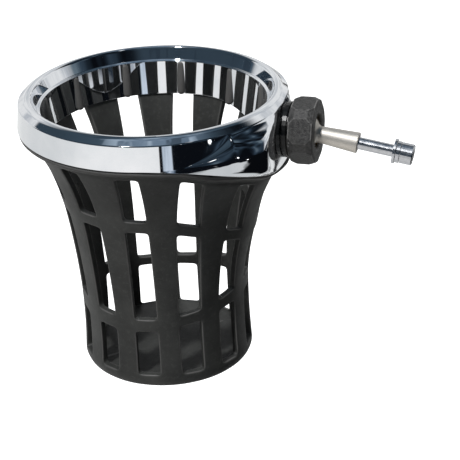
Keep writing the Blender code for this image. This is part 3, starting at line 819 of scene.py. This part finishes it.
def make_camera():
    camera = bpy.data.objects.new("camera", bpy.data.cameras.new("camera"))
    bpy.context.scene.collection.objects.link(camera)
    camera.data.sensor_width = SENSOR
    camera.data.lens = LENS
    camera.data.clip_start = 0.01
    camera.matrix_world = CAMERA_MATRIX
    bpy.context.scene.camera = camera


# Tones by the share of the way from the horizon to straight up.
SKY_TONES = (
    (0.0, "26313b"),
    (0.06, "4b5b69"),
    (0.16, "35424d"),
    (0.5, "36444f"),
    (0.72, "42525f"),
    (0.9, "76889a"),
)
# Tones of cloudy parts, by the noise that spreads them.
RIGHT_SIDE_TONES = ((0.38, "0a0d12"), (0.5, "1c252e"), (0.62, "364451"), (0.72, "66757f"))
FAR_WALL_TONES = ((0.35, "bfc3c8"), (0.55, "f0f0ef"))
STREAK_TONES = ((0.4, "4f6378"), (0.6, "cfdae6"))
HORIZON = (-8.5, -7.0)
# Small lamps: degrees to the right of the front, degrees up, and about half their width in degrees.
SMALL_LAMPS = ((42, 62, 1.4), (19.5, 3.5, 1.0), (41, -8, 0.8), (52.5, -20, 0.8))
SMALL_LAMP_TONE = (3, 3, 3, 1)


class Studio(Graph):
    """The world's nodes. turn is degrees to the right of the studio's front, height is degrees up."""

    def __init__(self, tree):
        super().__init__(tree)
        self.way = self.add("ShaderNodeTexCoord")
        self.front = Vector((math.cos(STUDIO_FRONT), math.sin(STUDIO_FRONT), 0))
        self.right = Vector((-self.front.y, self.front.x, 0))
        across, ahead = self.along(self.right), self.along(self.front)
        self.turn = self.maths("DEGREES", self.maths("ARCTAN2", across, ahead))
        self.height = self.maths("DEGREES", self.maths("ARCSINE", self.along((0, 0, 1))))
        wander = self.maths("MULTIPLY", self.maths("SUBTRACT", self.clouds(3.0), 0.5), 30.0)
        self.soft_turn = self.maths("ADD", self.turn, wander)
        self.soft_height = self.maths("ADD", self.height, wander)

    def along(self, direction):
        """How far the ray's direction goes along another."""
        node = self.tree.nodes.new("ShaderNodeVectorMath")
        node.operation = "DOT_PRODUCT"
        self.tree.links.new(self.way, node.inputs[0])
        node.inputs[1].default_value = direction
        return node.outputs["Value"]

    def clouds(self, scale, detail=3.0):
        return self.noise(scale, detail, 0.55, where=self.way)

    def cloudy(self, noise, tones):
        return self.ramp(noise, tuple((place, colour(code)) for place, code in tones))

    def sky(self):
        """Slate above, nearly black on the right, and white low down behind and at both far sides."""
        turn, height = self.turn, self.height
        tone = self.cloudy(self.maths("DIVIDE", height, 90.0), SKY_TONES)
        patches = self.clouds(4.5)
        light = self.both(self.step(patches, 0.52, 0.62), self.step(height, 62, 74))
        tone = self.mix(self.both(light, 0.75), tone, colour("b4c4d3"))
        tone = self.mix(self.both(self.step(patches, 0.46, 0.38), 0.7), tone, colour("2b3641"))
        right = self.both(self.step(turn, 6, 22), self.step(turn, 126, 112))
        right = self.both(right, self.step(height, 75, 50))
        tone = self.mix(right, tone, self.cloudy(self.clouds(3.6, 1.0), RIGHT_SIDE_TONES))
        near_horizon = self.step(height, 34, 22)
        left_turn = self.maths("SUBTRACT", self.both(near_horizon, 22.0), turn)
        right_turn = self.maths("ADD", self.both(near_horizon, 32.0), turn)
        far_left = self.both(self.step(left_turn, 134, 142), self.step(height, 50, 32))
        far_right = self.both(self.step(right_turn, 114, 124), self.step(height, 54, 42))
        far_wall = self.cloudy(self.clouds(5.0), FAR_WALL_TONES)
        return self.mix(self.either(far_left, far_right), tone, far_wall)

    def ground(self):
        """White on the left and behind; from the front to the right dark, with a blue streak, then white
        again low down and black beyond."""
        turn, soft_turn = self.turn, self.soft_turn
        tone = self.mix(self.step(turn, -95, -45), colour("e4e5e4"), colour("fdfcfa"))
        tone = self.mix(self.step(turn, 1.0, 1.8), tone, colour("0c0f14"))
        streak = self.both(self.step(turn, 3.2, 4.5), self.step(soft_turn, 2, 6))
        streak = self.both(streak, self.step(soft_turn, 14, 11))
        tone = self.mix(streak, tone, self.cloudy(self.clouds(9.0), STREAK_TONES))
        low_right = self.both(self.step(turn, 15, 22), self.step(self.soft_height, -25, -28))
        tone = self.mix(low_right, tone, colour("d4d6d6"))
        black = self.both(self.step(soft_turn, 48, 56), self.step(turn, 126, 116))
        black = self.both(black, self.step(self.height, -62, -58))
        tone = self.mix(black, tone, colour("0a0c0f"))
        behind = self.either(self.step(turn, 116, 126), self.step(turn, -138, -152))
        return self.mix(behind, tone, colour("ecedec"))

    def with_stripes(self, seen):
        """Dark upright stripes low down on the far right."""
        place = self.both(self.soft_turn, 0.16)
        line = {"noise_dimensions": "1D"}
        stripes = self.add("ShaderNodeTexNoise", settings=line, W=place, Scale=1.0, Detail=2.0)
        beside = self.both(self.step(self.turn, 118, 128), self.step(self.turn, 172, 160))
        beside = self.both(beside, self.step(self.height, 12, 2))
        return self.mix(self.both(beside, self.step(stripes, 0.52, 0.46)), seen, colour("15191f"))

    def with_small_lamps(self, seen):
        for azimuth, elevation, size in SMALL_LAMPS:
            a, e = math.radians(azimuth), math.radians(elevation)
            level = self.front * math.cos(a) + self.right * math.sin(a)
            towards = level * math.cos(e) + Vector((0, 0, math.sin(e)))
            edge, core = math.cos(math.radians(size * 2)), math.cos(math.radians(size * 0.5))
            seen = self.mix(self.step(self.along(towards), edge, core), seen, SMALL_LAMP_TONE)
        return seen


def make_world():
    """White to the camera, an even soft light on matt surfaces, and a studio in polished ones."""
    world = bpy.data.worlds.new("studio")
    bpy.context.scene.world = world
    world.use_nodes = True
    graph = Studio(world.node_tree)
    seen = graph.mix(graph.step(graph.height, *HORIZON), graph.ground(), graph.sky())
    seen = graph.with_small_lamps(graph.with_stripes(seen))
    rays = graph.tree.nodes.new("ShaderNodeLightPath")
    soft_light = graph.mix(graph.step(graph.height, -10, 30), grey(0.12), grey(0.38, -0.02))
    shown = graph.mix(rays.outputs["Is Diffuse Ray"], seen, soft_light)
    shown = graph.mix(rays.outputs["Is Camera Ray"], shown, grey(1.0))
    background = graph.add("ShaderNodeBackground", Color=shown, Strength=1.0)
    graph.tree.links.new(background, graph.tree.nodes.new("ShaderNodeOutputWorld").inputs[0])


def make_floor():
    """A wide white floor, which the chrome and the soft light don't see."""
    shape = bmesh.new()
    bmesh.ops.create_grid(shape, x_segments=1, y_segments=1, size=FLOOR_SIZE / 2)
    mesh = bpy.data.meshes.new("floor")
    shape.to_mesh(mesh)
    shape.free()
    floor = bpy.data.objects.new("floor", mesh)
    floor.location.z = FLOOR_HEIGHT
    bpy.context.scene.collection.objects.link(floor)
    made, graph = new_material("pale_floor")
    glow = {"Emission_Color": grey(1.0), "Emission_Strength": 0.6}
    close_material(graph, Base_Color=grey(0.92), Roughness=0.9, **glow)
    mesh.materials.append(made)
    floor.visible_glossy = False
    floor.visible_diffuse = False


def make_sun():
    """The one lamp: it shines down at the ring from its azimuth and elevation."""
    data = bpy.data.lights.new("sun", "SUN")
    data.energy = SUN_ENERGY
    data.angle = SUN_ANGLE
    lamp = bpy.data.objects.new("sun", data)
    a, e = math.radians(SUN_AZIMUTH), math.radians(SUN_ELEVATION)
    way = Vector((math.cos(a) * math.cos(e), math.sin(a) * math.cos(e), math.sin(e)))
    lamp.location = Vector((0, 0, 0.1)) + way
    lamp.rotation_euler = (-way).to_track_quat("-Z", "Y").to_euler()
    bpy.context.scene.collection.objects.link(lamp)


def main():
    bpy.context.scene.view_settings.view_transform = "Standard"
    make_camera()
    make_world()
    make_floor()
    make_sun()

    chrome = chrome_material()
    rubber = rubber_material()
    nylon = nylon_material()
    aluminium = metal_material("bead_blasted_aluminium", colour("dcd7cf"), 0.56, 2600, 0.35)
    zinc = metal_material("bright_zinc", colour("c4c6ca"), 0.24, 500, 0.08)
    painted_shade_socket = painted_shade_socket_material()
    brass = metal_material("turned_brass", colour("c9a45c"), 0.3, 700, 0.1)
    acetal = seat_material()

    make_ring(chrome)
    make_basket(rubber)
    make_ribs(rubber)
    make_knob(nylon)
    make_stem(aluminium)
    for node, look in (
        # the socket's near-black material is painted shade for the gap by the knob
        ("joint_socket", painted_shade_socket),
        ("ball_seat", acetal),
        ("compression_ring", brass),
        ("flat_washer", zinc),
        ("lock_washer", zinc),
        ("clamp_bolt", zinc),
    ):
        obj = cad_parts[node]
        obj.data.materials.clear()
        obj.data.materials.append(look)


main()
